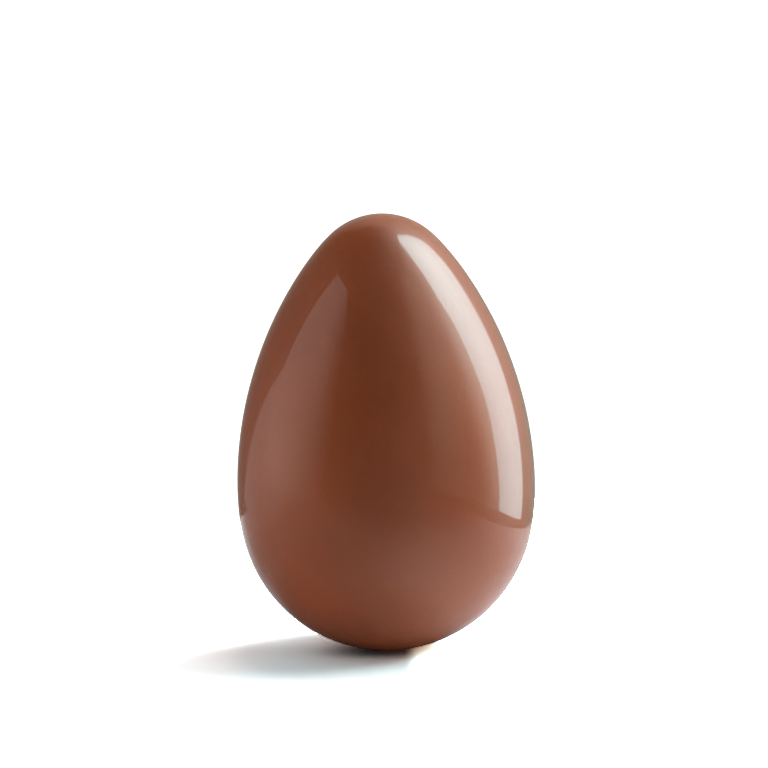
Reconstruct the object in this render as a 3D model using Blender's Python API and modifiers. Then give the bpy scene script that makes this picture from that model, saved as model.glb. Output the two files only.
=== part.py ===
"""A moulded milk chocolate egg, standing on its blunt end: one solid, turned about its long axis.

The outline is worked out from the direction of its surface normal. Going down from the tip, the
radius of curvature passes from that of the nose to that of the long flank, and then to that of the
blunt end, with no step on the way, so the outline has no corner and no sudden change of bend.
The blunt end is sliced off flat over a small spot, the foot, which the egg stands on.

The frame is in metres, +Z up along the long axis, with the origin at the centre of the foot.
"""

import bpy
import numpy as np

# Driving dimensions, in metres.
HEIGHT = 0.120
NOSE_RADIUS = 0.0202
FLANK_RADIUS = 0.1074
FOOT_RADIUS = 0.0060

# Where the bend of the outline changes, as angles of its normal from straight up, in degrees,
# and the angle over which each change takes place.
SHOULDER_ANGLE = 50.0
BELLY_ANGLE = 93.3
BLEND_ANGLE = 28.6

# The solid's facets: rings down the outline, steps round the axis, and the fine steps along the
# outline that the rings are picked from.
RINGS = 44
TURN_STEPS = 60
FINE_STEPS = 6000
MERGE_DISTANCE = 0.00001

# The finish of glossy milk chocolate.
CHOCOLATE_COLOUR = (0.175, 0.055, 0.025, 1.0)
CHOCOLATE_ROUGHNESS = 0.18

COLLECTION_NAME = "chocolate_egg"
NODE_NAME = "egg"


def smooth_step(share):
    """0 up to share 0, 1 from share 1 on, and between them a rise with no kink in slope or bend."""
    s = np.clip(share, 0.0, 1.0)
    return s ** 3 * (s * (6.0 * s - 15.0) + 10.0)


def change_at(normal, angle):
    """How far the change of bend centred on that angle, in degrees, has gone at each normal."""
    blend = np.radians(BLEND_ANGLE)
    return smooth_step((normal - np.radians(angle)) / blend + 0.5)


def running_sum(slope, step):
    """The trapezium integral of slope from its first sample to each sample."""
    return np.concatenate([[0.0], np.cumsum((slope[1:] + slope[:-1]) / 2.0) * step])


def whole_outline(base_radius):
    """Radius, and depth below the tip, along the whole egg's outline from its tip to its end."""
    normal = np.linspace(0.0, np.pi, FINE_STEPS)
    bend = NOSE_RADIUS
    bend = bend + (FLANK_RADIUS - NOSE_RADIUS) * change_at(normal, SHOULDER_ANGLE)
    bend = bend + (base_radius - FLANK_RADIUS) * change_at(normal, BELLY_ANGLE)
    step = normal[1] - normal[0]
    radius = running_sum(bend * np.cos(normal), step)
    depth = running_sum(bend * np.sin(normal), step)
    return radius, depth


def closing_base_radius():
    """The blunt end's radius of curvature that brings the outline back to the axis.

    The radius where the outline ends is a straight-line function of it, so two trials give it.
    """
    end_without_base = whole_outline(0.0)[0][-1]
    end_with_trial = whole_outline(HEIGHT)[0][-1]
    return HEIGHT * end_without_base / (end_without_base - end_with_trial)


def egg_profile():
    """Points (radius, height) down the outer side, from the tip to the centre of the flat foot.

    The outline is cut where the foot begins, and scaled evenly so that what is left is HEIGHT tall.
    """
    radius, depth = whole_outline(closing_base_radius())
    below_middle = np.arange(FINE_STEPS) > FINE_STEPS // 2
    wider_than_foot = radius * HEIGHT > FOOT_RADIUS * depth
    last = np.nonzero(below_middle & wider_than_foot)[0][-1]
    scale = HEIGHT / depth[last]
    rings = np.linspace(0, last, RINGS + 1).round().astype(int)
    points = [(radius[i] * scale, HEIGHT - depth[i] * scale) for i in rings]
    points.append((0.0, 0.0))
    return points


def chocolate_material():
    """Glossy milk chocolate."""
    material = bpy.data.materials.new("milk_chocolate")
    material.use_nodes = True
    shader = material.node_tree.nodes["Principled BSDF"]
    shader.inputs["Base Color"].default_value = CHOCOLATE_COLOUR
    shader.inputs["Roughness"].default_value = CHOCOLATE_ROUGHNESS
    shader.inputs["Metallic"].default_value = 0.0
    return material


def turned_solid(name, profile, material, collection):
    """A solid turned about +Z from a profile that runs down its outer side at +X."""
    mesh = bpy.data.meshes.new(name)
    points = [(radius, 0.0, height) for radius, height in profile]
    edges = [(i, i + 1) for i in range(len(points) - 1)]
    mesh.from_pydata(points, edges, [])
    mesh.materials.append(material)
    solid = bpy.data.objects.new(name, mesh)
    collection.objects.link(solid)
    turn = solid.modifiers.new("turn", "SCREW")
    turn.axis = "Z"
    turn.angle = 2.0 * np.pi
    turn.screw_offset = 0.0
    turn.steps = TURN_STEPS
    turn.render_steps = TURN_STEPS
    turn.use_merge_vertices = True
    turn.merge_threshold = MERGE_DISTANCE
    turn.use_smooth_shade = True
    return solid


def build():
    """Clears the scene and makes the egg."""
    for old in list(bpy.data.objects):
        bpy.data.objects.remove(old, do_unlink=True)
    collection = bpy.data.collections.new(COLLECTION_NAME)
    bpy.context.scene.collection.children.link(collection)
    turned_solid(NODE_NAME, egg_profile(), chocolate_material(), collection)


build()
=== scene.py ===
import math

import bpy
import numpy as np
from mathutils import Matrix, Vector


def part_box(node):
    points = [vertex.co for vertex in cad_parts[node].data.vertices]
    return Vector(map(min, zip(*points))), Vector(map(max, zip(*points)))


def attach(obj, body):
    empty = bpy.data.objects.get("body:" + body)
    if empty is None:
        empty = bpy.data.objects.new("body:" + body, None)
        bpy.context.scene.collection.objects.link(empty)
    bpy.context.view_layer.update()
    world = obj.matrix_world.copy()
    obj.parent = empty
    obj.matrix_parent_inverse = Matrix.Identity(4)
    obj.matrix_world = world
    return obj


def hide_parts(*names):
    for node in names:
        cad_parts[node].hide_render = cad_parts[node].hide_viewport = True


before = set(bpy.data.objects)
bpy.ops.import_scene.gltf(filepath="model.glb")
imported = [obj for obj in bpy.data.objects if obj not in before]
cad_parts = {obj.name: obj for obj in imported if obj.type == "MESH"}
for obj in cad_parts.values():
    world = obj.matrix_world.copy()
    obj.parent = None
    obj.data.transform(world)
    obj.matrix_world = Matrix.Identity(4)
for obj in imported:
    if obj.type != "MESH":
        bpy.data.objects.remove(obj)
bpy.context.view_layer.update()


# ---- The egg ----------------------------------------------------------------------------------
# One moulded milk chocolate egg, standing on a small flat foot at its blunt end. It was cast in a
# polished mould, so its skin is smooth and glossy all over, with only the faint unevenness that
# chocolate takes on as it shrinks away from the mould.

egg_low, egg_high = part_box("egg")
EGG_HEIGHT = egg_high.z - egg_low.z
NOSE_CURVE = 0.1683 * EGG_HEIGHT       # radius of curvature at the tip
FLANK_CURVE = 0.895 * EGG_HEIGHT       # and along the long side
FOOT_RADIUS = 0.05 * EGG_HEIGHT        # the flat spot that it stands on
SHOULDER = math.radians(50.0)          # the outline's normal, from straight up, where nose meets flank
BELLY = math.radians(93.3)             # and where flank meets blunt end
CURVE_BLEND = math.radians(28.6)       # the turn over which one curve passes into the next
OUTLINE_STEPS = 150
TURN_STEPS = 192
FINE_STEPS = 6000                      # steps in which the outline is added up
POINT_SIZE = 1e-6                      # a plane this small is merged into the first point of an outline
WELD_GAP = 1e-5                        # points closer than this are one
SMOOTH_ANGLE = math.radians(20.0)      # only the foot's rim bends more sharply
RIPPLE_HEIGHT = 0.00005                # the unevenness that chocolate takes on as it leaves its mould
RIPPLE_LENGTH = 0.014
RIPPLE_DETAIL = 1
STILL_HEIGHT = 0.005                   # the ripple dies away this far above the foot


def eased(share):
    """A rise from 0 to 1 with no kink in slope or bend."""
    s = np.clip(share, 0.0, 1.0)
    return s ** 3 * (s * (6.0 * s - 15.0) + 10.0)


def outline(blunt_curve):
    """Radius, and depth below the tip, down the whole outline, for one curvature of the blunt end."""
    normal = np.linspace(0.0, math.pi, FINE_STEPS)
    shoulder = eased((normal - SHOULDER) / CURVE_BLEND + 0.5)
    belly = eased((normal - BELLY) / CURVE_BLEND + 0.5)
    curve = NOSE_CURVE + (FLANK_CURVE - NOSE_CURVE) * shoulder + (blunt_curve - FLANK_CURVE) * belly
    turn = normal[1] - normal[0]
    out = curve * np.cos(normal) * turn
    down = curve * np.sin(normal) * turn
    radius = np.concatenate([[0.0], np.cumsum((out[1:] + out[:-1]) / 2.0)])
    depth = np.concatenate([[0.0], np.cumsum((down[1:] + down[:-1]) / 2.0)])
    return radius, depth


def egg_outline():
    """Points (radius, height) from the tip down to the rim of the foot."""
    # The outline's end radius changes in step with the blunt end's curvature, so the curvature
    # that brings the outline back to the axis follows from two trials.
    loose = outline(0.0)[0][-1]
    tight = outline(EGG_HEIGHT)[0][-1]
    radius, depth = outline(EGG_HEIGHT * loose / (loose - tight))
    low_half = np.arange(FINE_STEPS) > FINE_STEPS // 2
    last = np.nonzero(low_half & (radius * EGG_HEIGHT > FOOT_RADIUS * depth))[0][-1]
    scale = EGG_HEIGHT / depth[last]
    picks = np.linspace(0, last, OUTLINE_STEPS + 1).round().astype(int)
    return [(radius[i] * scale, egg_high.z - depth[i] * scale) for i in picks]


bpy.ops.object.select_all(action="DESELECT")
bpy.ops.mesh.primitive_plane_add(size=POINT_SIZE, location=(0.0, 0.0, egg_high.z))
egg = bpy.context.active_object
egg.name = "moulded_egg"
bpy.ops.object.transform_apply(location=True)
bpy.ops.object.mode_set(mode="EDIT")
bpy.ops.mesh.select_all(action="SELECT")
bpy.ops.mesh.merge(type="CENTER")
points = egg_outline() + [(0.0, egg_low.z)]
for (from_radius, from_height), (to_radius, to_height) in zip(points, points[1:]):
    step = (to_radius - from_radius, 0.0, to_height - from_height)
    bpy.ops.mesh.extrude_vertices_move(TRANSFORM_OT_translate={"value": step})
bpy.ops.mesh.select_all(action="SELECT")
bpy.ops.mesh.spin(steps=TURN_STEPS, angle=2.0 * math.pi, center=(0, 0, 0), axis=(0, 0, 1))
bpy.ops.mesh.select_all(action="SELECT")
bpy.ops.mesh.remove_doubles(threshold=WELD_GAP)
bpy.ops.mesh.normals_make_consistent(inside=False)
bpy.ops.object.mode_set(mode="OBJECT")

skin = egg.vertex_groups.new(name="skin")
for vertex in egg.data.vertices:
    skin.add([vertex.index], min(1.0, (vertex.co.z - egg_low.z) / STILL_HEIGHT), "REPLACE")
ripple = bpy.data.textures.new("skin_ripple", "CLOUDS")
ripple.noise_scale = RIPPLE_LENGTH
ripple.noise_depth = RIPPLE_DETAIL
waves = egg.modifiers.new("skin_ripple", "DISPLACE")
waves.texture = ripple
waves.texture_coords = "LOCAL"
waves.strength = RIPPLE_HEIGHT
waves.mid_level = 0.5                  # as much in as out
waves.vertex_group = skin.name
bpy.ops.object.modifier_apply(modifier=waves.name)
bpy.ops.object.shade_smooth_by_angle(angle=SMOOTH_ANGLE)

DARK_MILK = (0.190, 0.0410, 0.0095, 1.0)
LIGHT_MILK = (0.211, 0.0472, 0.0115, 1.0)
COCOA_SPECK = (0.172, 0.0366, 0.0083, 1.0)
SPECK_STRENGTH = 0.3
PATCH_LOW = 0.32                       # the noise that counts as the bottom of a patch
PATCH_HIGH = 0.68                      # and as its top
CLOUD_SIZE = 0.022
DULL_PATCH_SIZE = 0.3 * CLOUD_SIZE
POLISH_PATCH_SIZE = 0.6 * CLOUD_SIZE
SPECK_SIZE = 0.0007
GRAIN_SIZE = 0.0022
GRAIN_HEIGHT = 0.000015
BODY_ROUGHNESS = (0.38, 0.44)          # the broad sheen under the polish
POLISH_WEIGHT = (0.93, 1.0)            # the skin cast against the mould
POLISH_ROUGHNESS = 0.04
COCOA_BUTTER_IOR = 1.5


def feed(tree, value, socket):
    """Give a socket what another node puts out, or a plain value."""
    if isinstance(value, bpy.types.NodeSocket):
        tree.links.new(value, socket)
    else:
        socket.default_value = value


def passing_into(tree, share, first, second, data_type="RGBA"):
    """One colour, or one number, passing into a second as the share goes from 0 to 1."""
    kind = "VALUE" if data_type == "FLOAT" else data_type
    mix = tree.nodes.new("ShaderNodeMix")
    mix.data_type = data_type
    feed(tree, share, mix.inputs["Factor"])
    ends = [socket for socket in mix.inputs if socket.type == kind and socket.name in ("A", "B")]
    for value, socket in zip((first, second), ends):
        feed(tree, value, socket)
    return [socket for socket in mix.outputs if socket.type == kind][0]


def blotches(tree, place, size, detail, levels):
    """Soft patches about one size, as a value that runs between two levels over the skin."""
    patches = tree.nodes.new("ShaderNodeTexNoise")
    patches.inputs["Scale"].default_value = 1.0 / size
    patches.inputs["Detail"].default_value = detail
    tree.links.new(place, patches.inputs["Vector"])
    level = tree.nodes.new("ShaderNodeMapRange")
    level.inputs["From Min"].default_value = PATCH_LOW
    level.inputs["From Max"].default_value = PATCH_HIGH
    level.inputs["To Min"].default_value = levels[0]
    level.inputs["To Max"].default_value = levels[1]
    tree.links.new(patches.outputs["Fac"], level.inputs["Value"])
    return level.outputs["Result"]


chocolate = bpy.data.materials.new("polished_milk_chocolate")
chocolate.use_nodes = True
tree = chocolate.node_tree
shader = tree.nodes["Principled BSDF"]
place = tree.nodes.new("ShaderNodeTexCoord")
centred = tree.nodes.new("ShaderNodeMapping")
centred.inputs["Location"].default_value = (0.0, 0.0, -(egg_low.z + egg_high.z) / 2.0)
tree.links.new(place.outputs["Object"], centred.inputs["Vector"])
on_skin = centred.outputs["Vector"]
clouding = blotches(tree, on_skin, CLOUD_SIZE, 3.0, (0.0, 1.0))
clouded = passing_into(tree, clouding, DARK_MILK, LIGHT_MILK)
specks = blotches(tree, on_skin, SPECK_SIZE, 1.0, (0.0, SPECK_STRENGTH))
tree.links.new(passing_into(tree, specks, clouded, COCOA_SPECK), shader.inputs["Base Color"])
tree.links.new(blotches(tree, on_skin, DULL_PATCH_SIZE, 2.0, BODY_ROUGHNESS), shader.inputs["Roughness"])
tree.links.new(blotches(tree, on_skin, POLISH_PATCH_SIZE, 2.0, POLISH_WEIGHT), shader.inputs["Coat Weight"])
grain = tree.nodes.new("ShaderNodeBump")
grain.inputs["Strength"].default_value = 1.0
grain.inputs["Distance"].default_value = GRAIN_HEIGHT
tree.links.new(blotches(tree, on_skin, GRAIN_SIZE, 1.0, (0.0, 1.0)), grain.inputs["Height"])
tree.links.new(grain.outputs["Normal"], shader.inputs["Normal"])
shader.inputs["IOR"].default_value = COCOA_BUTTER_IOR
shader.inputs["Specular IOR Level"].default_value = 0.5
shader.inputs["Coat Roughness"].default_value = POLISH_ROUGHNESS
shader.inputs["Coat IOR"].default_value = COCOA_BUTTER_IOR
egg.data.materials.append(chocolate)
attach(egg, "root")
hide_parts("egg")


# ---- The table ---------------------------------------------------------------------------------
# A sheet of matt white paper lying on a small table, turned a little from the camera, with the egg
# stood on it. Its near right and back edges show as edges in the polish. It is lit past white but
# for the soft shadow that the egg throws to the left, which the lamps cast and painted shadow and
# painted light round the foot reshape. How bright it shows in the polish is partly painted too.

PAPER_TURN = math.radians(26.0)
PAPER_RIGHT = 1.12 * EGG_HEIGHT
PAPER_BACK = 1.5 * EGG_HEIGHT
PAPER_LEFT = 3.0 * EGG_HEIGHT
PAPER_FRONT = 3.4 * EGG_HEIGHT
PAPER_ROUGHNESS = 0.9
PAPER_BOUNCE_PAST_WHITE = 1.3                         # what the paper gives back to the underside of the egg: past white, a painted lift of its bounce light
PAPER_NEAR = (2.35, 3.15, 3.35, 1.0)      # its tone to the eye near the egg, painted cool to cancel the brown light the egg throws on it
PAPER_OPEN = (2.95, 3.15, 3.2, 1.0)       # out beyond the shadow, left and in front
PAPER_PAINTED_LIGHT = (6.5, 11.5, 12.0, 1.0)   # a painted pool of light to the right of the foot, cutting the shadow short there
PAPER_PAINTED_SHADOW = (0.36, 0.6, 0.75, 1.0)     # under the egg: a painted shadow that deepens the one the lamps cast
PAINTED_SHADOW_SQUASH = 0.55                       # the painted shadow under the egg is longer than it is deep
# the painted shadow's centre, just in front of the foot
PAINTED_SHADOW_SHIFT = (0.0055 * EGG_HEIGHT, 0.055 * EGG_HEIGHT, 0.0)


def flat_sheet(name, corners, material):
    """A flat sheet drawn corner by corner in its own plane, face up."""
    bpy.ops.object.select_all(action="DESELECT")
    bpy.ops.mesh.primitive_plane_add(size=POINT_SIZE)
    sheet = bpy.context.active_object
    sheet.name = name
    bpy.ops.object.mode_set(mode="EDIT")
    bpy.ops.mesh.select_all(action="SELECT")
    bpy.ops.mesh.merge(type="CENTER")
    bpy.ops.transform.translate(value=(corners[0][0], corners[0][1], 0.0))
    for (from_x, from_y), (to_x, to_y) in zip(corners, corners[1:]):
        step = (to_x - from_x, to_y - from_y, 0.0)
        bpy.ops.mesh.extrude_vertices_move(TRANSFORM_OT_translate={"value": step})
    bpy.ops.mesh.select_all(action="SELECT")
    bpy.ops.mesh.edge_face_add()
    bpy.ops.object.mode_set(mode="OBJECT")
    sheet.data.materials.append(material)
    return sheet


def heights(*numbers):
    """Lengths given in egg heights."""
    return tuple(number * EGG_HEIGHT for number in numbers)


def eased_between(tree, value, reach, levels):
    """A smooth change from one level to the next as a value goes from end to end of its reach."""
    step = tree.nodes.new("ShaderNodeMapRange")
    step.interpolation_type = "SMOOTHSTEP"
    tree.links.new(value, step.inputs["Value"])
    step.inputs["From Min"].default_value = reach[0]
    step.inputs["From Max"].default_value = reach[1]
    step.inputs["To Min"].default_value = levels[0]
    step.inputs["To Max"].default_value = levels[1]
    return step.outputs["Result"]


def joined(tree, operation, first, second):
    """One Math node over two values."""
    node = tree.nodes.new("ShaderNodeMath")
    node.operation = operation
    feed(tree, first, node.inputs[0])
    feed(tree, second, node.inputs[1])
    return node.outputs["Value"]


def product(tree, *factors):
    """The factors multiplied together, in a chain of Math nodes."""
    result = factors[0]
    for factor in factors[1:]:
        result = joined(tree, "MULTIPLY", result, factor)
    return result


def sheet_coordinates(tree):
    """Places on a sheet, in its own plane."""
    place = tree.nodes.new("ShaderNodeTexCoord")
    split = tree.nodes.new("ShaderNodeSeparateXYZ")
    tree.links.new(place.outputs["Object"], split.inputs["Vector"])
    return split.outputs["X"], split.outputs["Y"]


paper = bpy.data.materials.new("matt_paper")
paper.use_nodes = True
tree = paper.node_tree
shader = tree.nodes["Principled BSDF"]
shader.inputs["Roughness"].default_value = PAPER_ROUGHNESS
shader.inputs["Specular IOR Level"].default_value = 0.0
path = tree.nodes.new("ShaderNodeLightPath")

# What the polish mirrors of the paper: the lamps' real light on it, times a painted tone over the sheet's
# own length and width, darker in front, brighter to the back and the right, dimmer just behind, brighter
# far behind, with a painted shade round the foot.
across, along = sheet_coordinates(tree)
place = tree.nodes.new("ShaderNodeTexCoord")
squared_up = tree.nodes.new("ShaderNodeMapping")
squared_up.inputs["Rotation"].default_value = (0.0, 0.0, PAPER_TURN)
tree.links.new(place.outputs["Object"], squared_up.inputs["Vector"])
from_foot = tree.nodes.new("ShaderNodeMapping")
from_foot.inputs["Scale"].default_value = (PAINTED_SHADOW_SQUASH, 1.0, 1.0)
from_foot.inputs["Location"].default_value = PAINTED_SHADOW_SHIFT
tree.links.new(squared_up.outputs["Vector"], from_foot.inputs["Vector"])
far_off = tree.nodes.new("ShaderNodeVectorMath")
far_off.operation = "LENGTH"
tree.links.new(from_foot.outputs["Vector"], far_off.inputs[0])
from_shade = far_off.outputs["Value"]
toward_back = eased_between(tree, along, heights(-2.1, 0.1), (0.04, 0.38))
toward_right = eased_between(tree, across, heights(-0.6, 0.1), (0.95, 2.3))
behind = eased_between(tree, along, heights(-0.1, 0.3), (1.0, 0.8))
well_behind = eased_between(tree, along, heights(0.4, 1.1), (1.0, 1.6))
painted_foot_shade = eased_between(tree, from_shade, heights(0.04, 0.18), (0.35, 1.0))
painted_gloss_tone = product(tree, toward_back, toward_right, behind, well_behind, painted_foot_shade)
unseen = passing_into(tree, path.outputs["Is Glossy Ray"], PAPER_BOUNCE_PAST_WHITE, painted_gloss_tone, "FLOAT")

# What the eye sees of it, squared up to the camera, is the lamps' real light and shadow times a painted
# tone: painted shadow at the foot, a painted cool tone near it, then open paper.
split = tree.nodes.new("ShaderNodeSeparateXYZ")
tree.links.new(squared_up.outputs["Vector"], split.inputs["Vector"])
rightward = split.outputs["X"]
backward = split.outputs["Y"]
past_left = eased_between(tree, rightward, heights(-0.2, -0.42), (0.0, 1.0))
past_front = eased_between(tree, backward, heights(-0.22, -0.4), (0.0, 1.0))
open_paper = passing_into(tree, joined(tree, "MAXIMUM", past_left, past_front), PAPER_NEAR, PAPER_OPEN)
# Painted shadow round the foot, fading out about a tenth of the egg's height from its centre.
out_of_shade = eased_between(tree, from_shade, heights(0.015, 0.105), (0.0, 1.0))
painted_shadow_tone = passing_into(tree, out_of_shade, PAPER_PAINTED_SHADOW, open_paper)
# Painted light to the right of the foot.
past_right = eased_between(tree, rightward, heights(0.033, 0.075), (0.0, 1.0))
painted_light_side = passing_into(tree, past_right, painted_shadow_tone, PAPER_PAINTED_LIGHT)
# Painted light lifting the paper a little in front and more behind the foot.
painted_front_lift = eased_between(tree, along, heights(-0.1, -0.3), (1.0, 1.07))
painted_back_lift = eased_between(tree, backward, heights(-0.05, 0.1), (1.0, 1.6))
lifted = tree.nodes.new("ShaderNodeVectorMath")
lifted.operation = "SCALE"
tree.links.new(painted_light_side, lifted.inputs["Vector"])
tree.links.new(product(tree, painted_front_lift, painted_back_lift), lifted.inputs["Scale"])
paper_tone = passing_into(tree, path.outputs["Is Camera Ray"], unseen, lifted.outputs["Vector"])
tree.links.new(paper_tone, shader.inputs["Base Color"])

table = flat_sheet("table", [
    (-PAPER_LEFT, -PAPER_FRONT),
    (PAPER_RIGHT, -PAPER_FRONT),
    (PAPER_RIGHT, PAPER_BACK),
    (-PAPER_LEFT, PAPER_BACK),
], paper)
table.matrix_world = Matrix.Rotation(PAPER_TURN, 4, "Z")


# ---- What the polish mirrors -------------------------------------------------------------------
# A tall strip of light stands to the right, a little behind the egg, with a soft fringe on its near
# side. A big white board stands to the left, its near end fading into the dark of the room. Behind
# are a dim wall and two dim halves of a backdrop, and overhead is a pale ceiling. All are lit panels.

PANEL_DISTANCE = 4.0 * EGG_HEIGHT
FRINGE_DISTANCE = 1.01 * PANEL_DISTANCE     # just behind the strip
WALL_DISTANCE = 1.1 * PANEL_DISTANCE        # and behind the board
CEILING_RISE = 12.8 * EGG_HEIGHT
STRIP_BEARING = 112.0                       # degrees round from the camera, to its right
BOARD_BEARING = -90.0
BACKDROP_BEARING = 165.0
PLAIN_TINT = (1.0, 1.0, 1.0)
STRIP_TINT = (0.71, 1.0, 1.02)
FRINGE_TINT = (0.9, 1.0, 0.85)
BACKDROP_TINT = (0.6, 1.0, 0.9)
FAR_WALL_TINT = (1.1, 1.0, 0.85)
STRIP_LEVEL = 6.4
FRINGE_LEVEL = 3.75
BOARD_LEVEL = 0.68
CEILING_LEVEL = 0.8
BACKDROP_LEVEL = 0.34
WALL_LEVEL = 0.105


def glowing_panel(name, bearing, distance, corners, brightness, tint=PLAIN_TINT):
    """An upright panel facing the egg; its corners are in egg heights across and above the table."""
    glow = bpy.data.materials.new(name)
    glow.use_nodes = True
    tree = glow.node_tree
    tree.nodes.clear()
    light = tree.nodes.new("ShaderNodeEmission")
    end = tree.nodes.new("ShaderNodeOutputMaterial")
    tree.links.new(light.outputs["Emission"], end.inputs["Surface"])
    across, up = sheet_coordinates(tree)
    tree.links.new(brightness(tree, across, up), light.inputs["Strength"])
    light.inputs["Color"].default_value = (*tint, 1.0)
    panel = flat_sheet(name, [heights(*corner) for corner in corners], glow)
    upright = Matrix.Rotation(math.pi / 2.0, 4, "X")
    facing = Matrix.Rotation(math.radians(bearing - 180.0), 4, "Z")
    panel.matrix_world = facing @ Matrix.Translation((0.0, distance, 0.0)) @ upright
    panel.visible_camera = False
    panel.visible_diffuse = False
    panel.visible_shadow = False
    return panel


def strip_brightness(tree, across, up):
    """Brighter toward its head and its near side."""
    low_end = eased_between(tree, up, heights(-0.65, 5.0), (0.64, 1.24))
    far_side = eased_between(tree, across, heights(-1.4, 0.8), (0.62, 1.0))
    return product(tree, low_end, far_side, STRIP_LEVEL)


def fringe_brightness(tree, across, up):
    """Falls away fast beside the strip, then slowly out into the room."""
    near = eased_between(tree, across, heights(0.9, 4.2), (1.0, 0.45))
    tail = eased_between(tree, across, heights(6.0, 22.0), (1.0, 0.0))
    height = eased_between(tree, up, heights(-0.65, 4.0), (0.25, 1.07))
    beside = product(tree, near, near, near, tail, height, FRINGE_LEVEL)
    out_in_room = eased_between(tree, across, heights(2.5, 6.0), (0.0, 0.2))
    return joined(tree, "ADD", beside, product(tree, out_in_room, tail))


def board_brightness(tree, across, up):
    """Dark at its near end and dimmer low down."""
    near_end = eased_between(tree, across, heights(-4.6, -1.4), (0.0, 1.0))
    low_end = eased_between(tree, up, heights(-0.85, 3.0), (0.52, 1.13))
    return product(tree, near_end, low_end, BOARD_LEVEL)


def ceiling_brightness(tree, across, up):
    """Brightest over the strip, and dark over the board and the camera."""
    left = eased_between(tree, across, heights(-3.2, 4.8), (0.0, 1.0))
    right = eased_between(tree, across, heights(5.0, 12.0), (1.0, 0.3))
    back = eased_between(tree, up, heights(-4.8, 8.0), (0.0, 1.0))
    return product(tree, left, right, back, CEILING_LEVEL)


def backdrop_brightness(tree, across, up):
    """Dimmer at both sides, brighter high up, and dark below the table."""
    left = eased_between(tree, across, heights(-4.4, -1.0), (0.4, 1.0))
    right = eased_between(tree, across, heights(1.0, 4.5), (1.0, 0.4))
    top = eased_between(tree, up, heights(3.0, 8.5), (1.0, 1.5))
    low = eased_between(tree, up, heights(-1.6, -0.4), (0.0, 1.0))
    return product(tree, left, right, top, low, BACKDROP_LEVEL)


def wall_brightness(tree, across, up):
    """Even, but dimmer high up."""
    top = eased_between(tree, up, heights(3.0, 7.0), (1.0, 0.3))
    return product(tree, top, WALL_LEVEL)


glowing_panel("strip_light", STRIP_BEARING, PANEL_DISTANCE, [
    (1.35, -0.6), (1.47, 1.4), (1.8, 3.3), (2.2, 4.5), (2.4, 7.7), (2.1, 10.0),
    (1.4, 12.0), (-0.7, 12.0), (-1.0, 6.0), (-1.25, 3.0), (-0.95, -0.78),
], strip_brightness, STRIP_TINT)
glowing_panel("strip_fringe", STRIP_BEARING, FRINGE_DISTANCE, [
    (22.0, -0.6), (22.0, 30.0),
    (1.4, 12.0), (2.1, 10.0), (2.4, 7.7), (2.2, 4.5), (1.8, 3.3), (1.47, 1.4), (1.35, -0.6),
], fringe_brightness, FRINGE_TINT)
glowing_panel("reflector_board", BOARD_BEARING, PANEL_DISTANCE, [
    (4.75, -0.85), (1.0, 1.75), (-0.12, 5.12), (-2.4, 6.4), (-5.6, 5.0), (-5.6, -0.85),
], board_brightness)
glowing_panel("left_wall", BOARD_BEARING, WALL_DISTANCE, [
    (9.0, -2.0), (9.0, 7.0), (-0.6, 7.0), (-0.6, -2.0),
], wall_brightness)
glowing_panel("backdrop_glow", BACKDROP_BEARING, PANEL_DISTANCE, [
    (4.5, -2.5), (4.5, 8.5), (0.0, 8.5), (0.0, -2.5),
], backdrop_brightness, BACKDROP_TINT)
glowing_panel("far_wall_glow", BACKDROP_BEARING, PANEL_DISTANCE, [
    (0.0, -2.5), (0.0, 8.5), (-4.5, 8.5), (-4.5, -2.5),
], backdrop_brightness, FAR_WALL_TINT)
ceiling = glowing_panel("ceiling_glow", 0.0, 0.0, [
    (-3.2, -4.8), (12.8, -4.8), (12.8, 12.8), (-3.2, 12.8),
], ceiling_brightness)
ceiling.matrix_world = Matrix.Translation((0.0, 0.0, CEILING_RISE))


# ---- What lights the form ----------------------------------------------------------------------
# Round soft lamps on stands, all at one distance and aimed at the egg's middle. Three light egg and
# table alike; the rest are flagged off the table. None shows in the polish, and a faint even light
# comes from the room.

LAMP_DISTANCE = 6.0 * EGG_HEIGHT
WIDE_LAMP = 3.0 * EGG_HEIGHT
SMALL_LAMP = 2.0 * EGG_HEIGHT
ROOM_LIGHT = 0.24                      # what the room gives the form
ROOM_IN_GLOSS = (0.005, 0.03)          # what the polish shows of it, and of the air overhead
ROOM_BEYOND = 1.5                      # the white that stands behind it all


def soft_light(name, bearing, rise, size, radiance):
    """A round soft light aimed at the egg; it models the form and stays out of the polish."""
    lamp = bpy.data.lights.new(name, "AREA")
    lamp.shape = "DISK"
    lamp.size = size
    lamp.energy = radiance * math.pi * math.pi * (size / 2.0) ** 2
    light = bpy.data.objects.new(name, lamp)
    bpy.context.scene.collection.objects.link(light)
    turn = math.radians(bearing)
    lift = math.radians(rise)
    toward = Vector((math.sin(turn) * math.cos(lift), -math.cos(turn) * math.cos(lift), math.sin(lift)))
    place = Matrix.Translation(Vector((0.0, 0.0, EGG_HEIGHT / 2.0)) + toward * LAMP_DISTANCE)
    light.matrix_world = place @ toward.to_track_quat("Z", "Y").to_matrix().to_4x4()
    light.visible_glossy = False
    light.visible_camera = False
    return light


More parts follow.
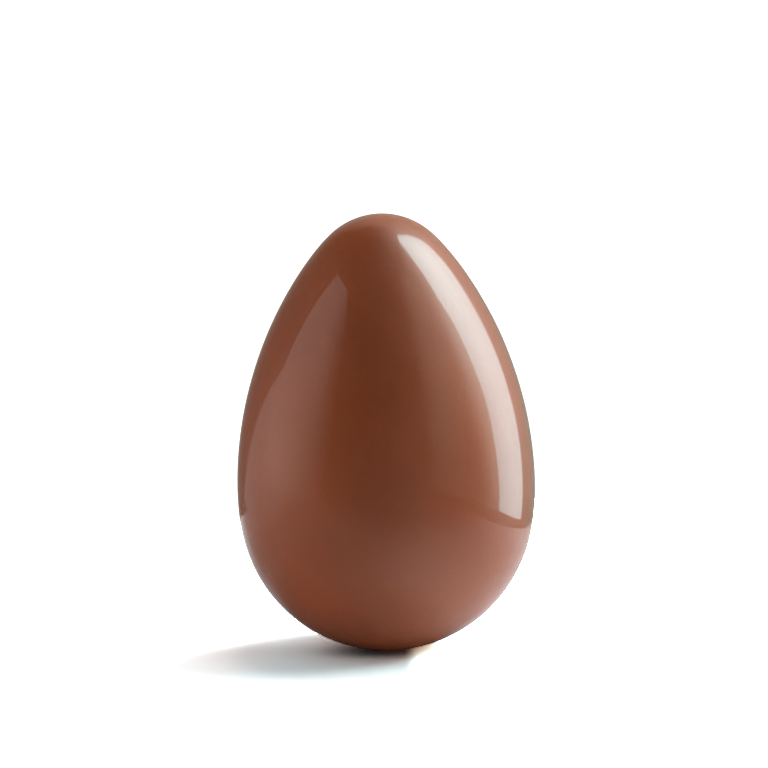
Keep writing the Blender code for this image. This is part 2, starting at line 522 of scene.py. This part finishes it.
soft_light("back_light", 135.0, 35.0, WIDE_LAMP, 12.4)
soft_light("side_light", 84.0, 35.0, WIDE_LAMP, 4.8)
soft_light("high_light", 135.0, 80.0, WIDE_LAMP, 2.9)
low_fills = [
    soft_light("right_fill", 90.0, -18.0, SMALL_LAMP, 21.0),
    soft_light("floor_bounce", 20.0, -12.0, WIDE_LAMP, 4.6),
]
high_fills = [
    soft_light("key_fill", 118.0, 35.0, WIDE_LAMP, 6.9),
    soft_light("left_fill", -90.0, 0.0, SMALL_LAMP, 28.0),
    soft_light("crown_light", 135.0, 60.0, SMALL_LAMP, 31.0),
]
on_the_egg = bpy.data.collections.new("lit_by_fills")
on_the_egg.objects.link(egg)
for fill in high_fills + low_fills:
    fill.light_linking.receiver_collection = on_the_egg
for fill in low_fills:
    fill.light_linking.blocker_collection = on_the_egg

world = bpy.data.worlds.new("studio")
bpy.context.scene.world = world
world.use_nodes = True
tree = world.node_tree
path = tree.nodes.new("ShaderNodeLightPath")
room = tree.nodes.new("ShaderNodeTexCoord")
split = tree.nodes.new("ShaderNodeSeparateXYZ")
tree.links.new(room.outputs["Generated"], split.inputs["Vector"])
overhead = eased_between(tree, split.outputs["Z"], (0.9, 1.0), ROOM_IN_GLOSS)
dome = passing_into(tree, path.outputs["Is Glossy Ray"], ROOM_LIGHT, overhead, "FLOAT")
room_tone = passing_into(tree, path.outputs["Is Camera Ray"], dome, ROOM_BEYOND, "FLOAT")
tree.links.new(room_tone, tree.nodes["Background"].inputs["Color"])


# ---- The camera --------------------------------------------------------------------------------
# A long lens on a stand, ten degrees above the table and a hair out of level. It is aimed a little
# over the egg's middle.

CAMERA_RISE = math.radians(10.0)
CAMERA_ROLL = math.radians(-1.25)
CAMERA_DISTANCE = 8.0 * EGG_HEIGHT
VIEW_WIDTH = 1.754 * EGG_HEIGHT        # what fits across the view at the egg
AIM_OVER_MIDDLE = 0.1085 * EGG_HEIGHT
SENSOR_WIDTH = 36.0

lens = bpy.data.cameras.new("camera")
camera = bpy.data.objects.new("camera", lens)
bpy.context.scene.collection.objects.link(camera)
lens.sensor_width = SENSOR_WIDTH
lens.lens = SENSOR_WIDTH * CAMERA_DISTANCE / VIEW_WIDTH
egg_middle = (egg_low + egg_high) / 2.0
to_camera = Vector((0.0, -math.cos(CAMERA_RISE), math.sin(CAMERA_RISE)))
eye = egg_middle + to_camera * CAMERA_DISTANCE
screen_up = Vector((0.0, math.sin(CAMERA_RISE), math.cos(CAMERA_RISE)))
aim = egg_middle + screen_up * AIM_OVER_MIDDLE
look = (aim - eye).to_track_quat("-Z", "Y").to_matrix().to_4x4()
camera.matrix_world = Matrix.Translation(eye) @ look @ Matrix.Rotation(CAMERA_ROLL, 4, "Z")
bpy.context.scene.camera = camera
bpy.context.scene.view_settings.view_transform = "Standard"
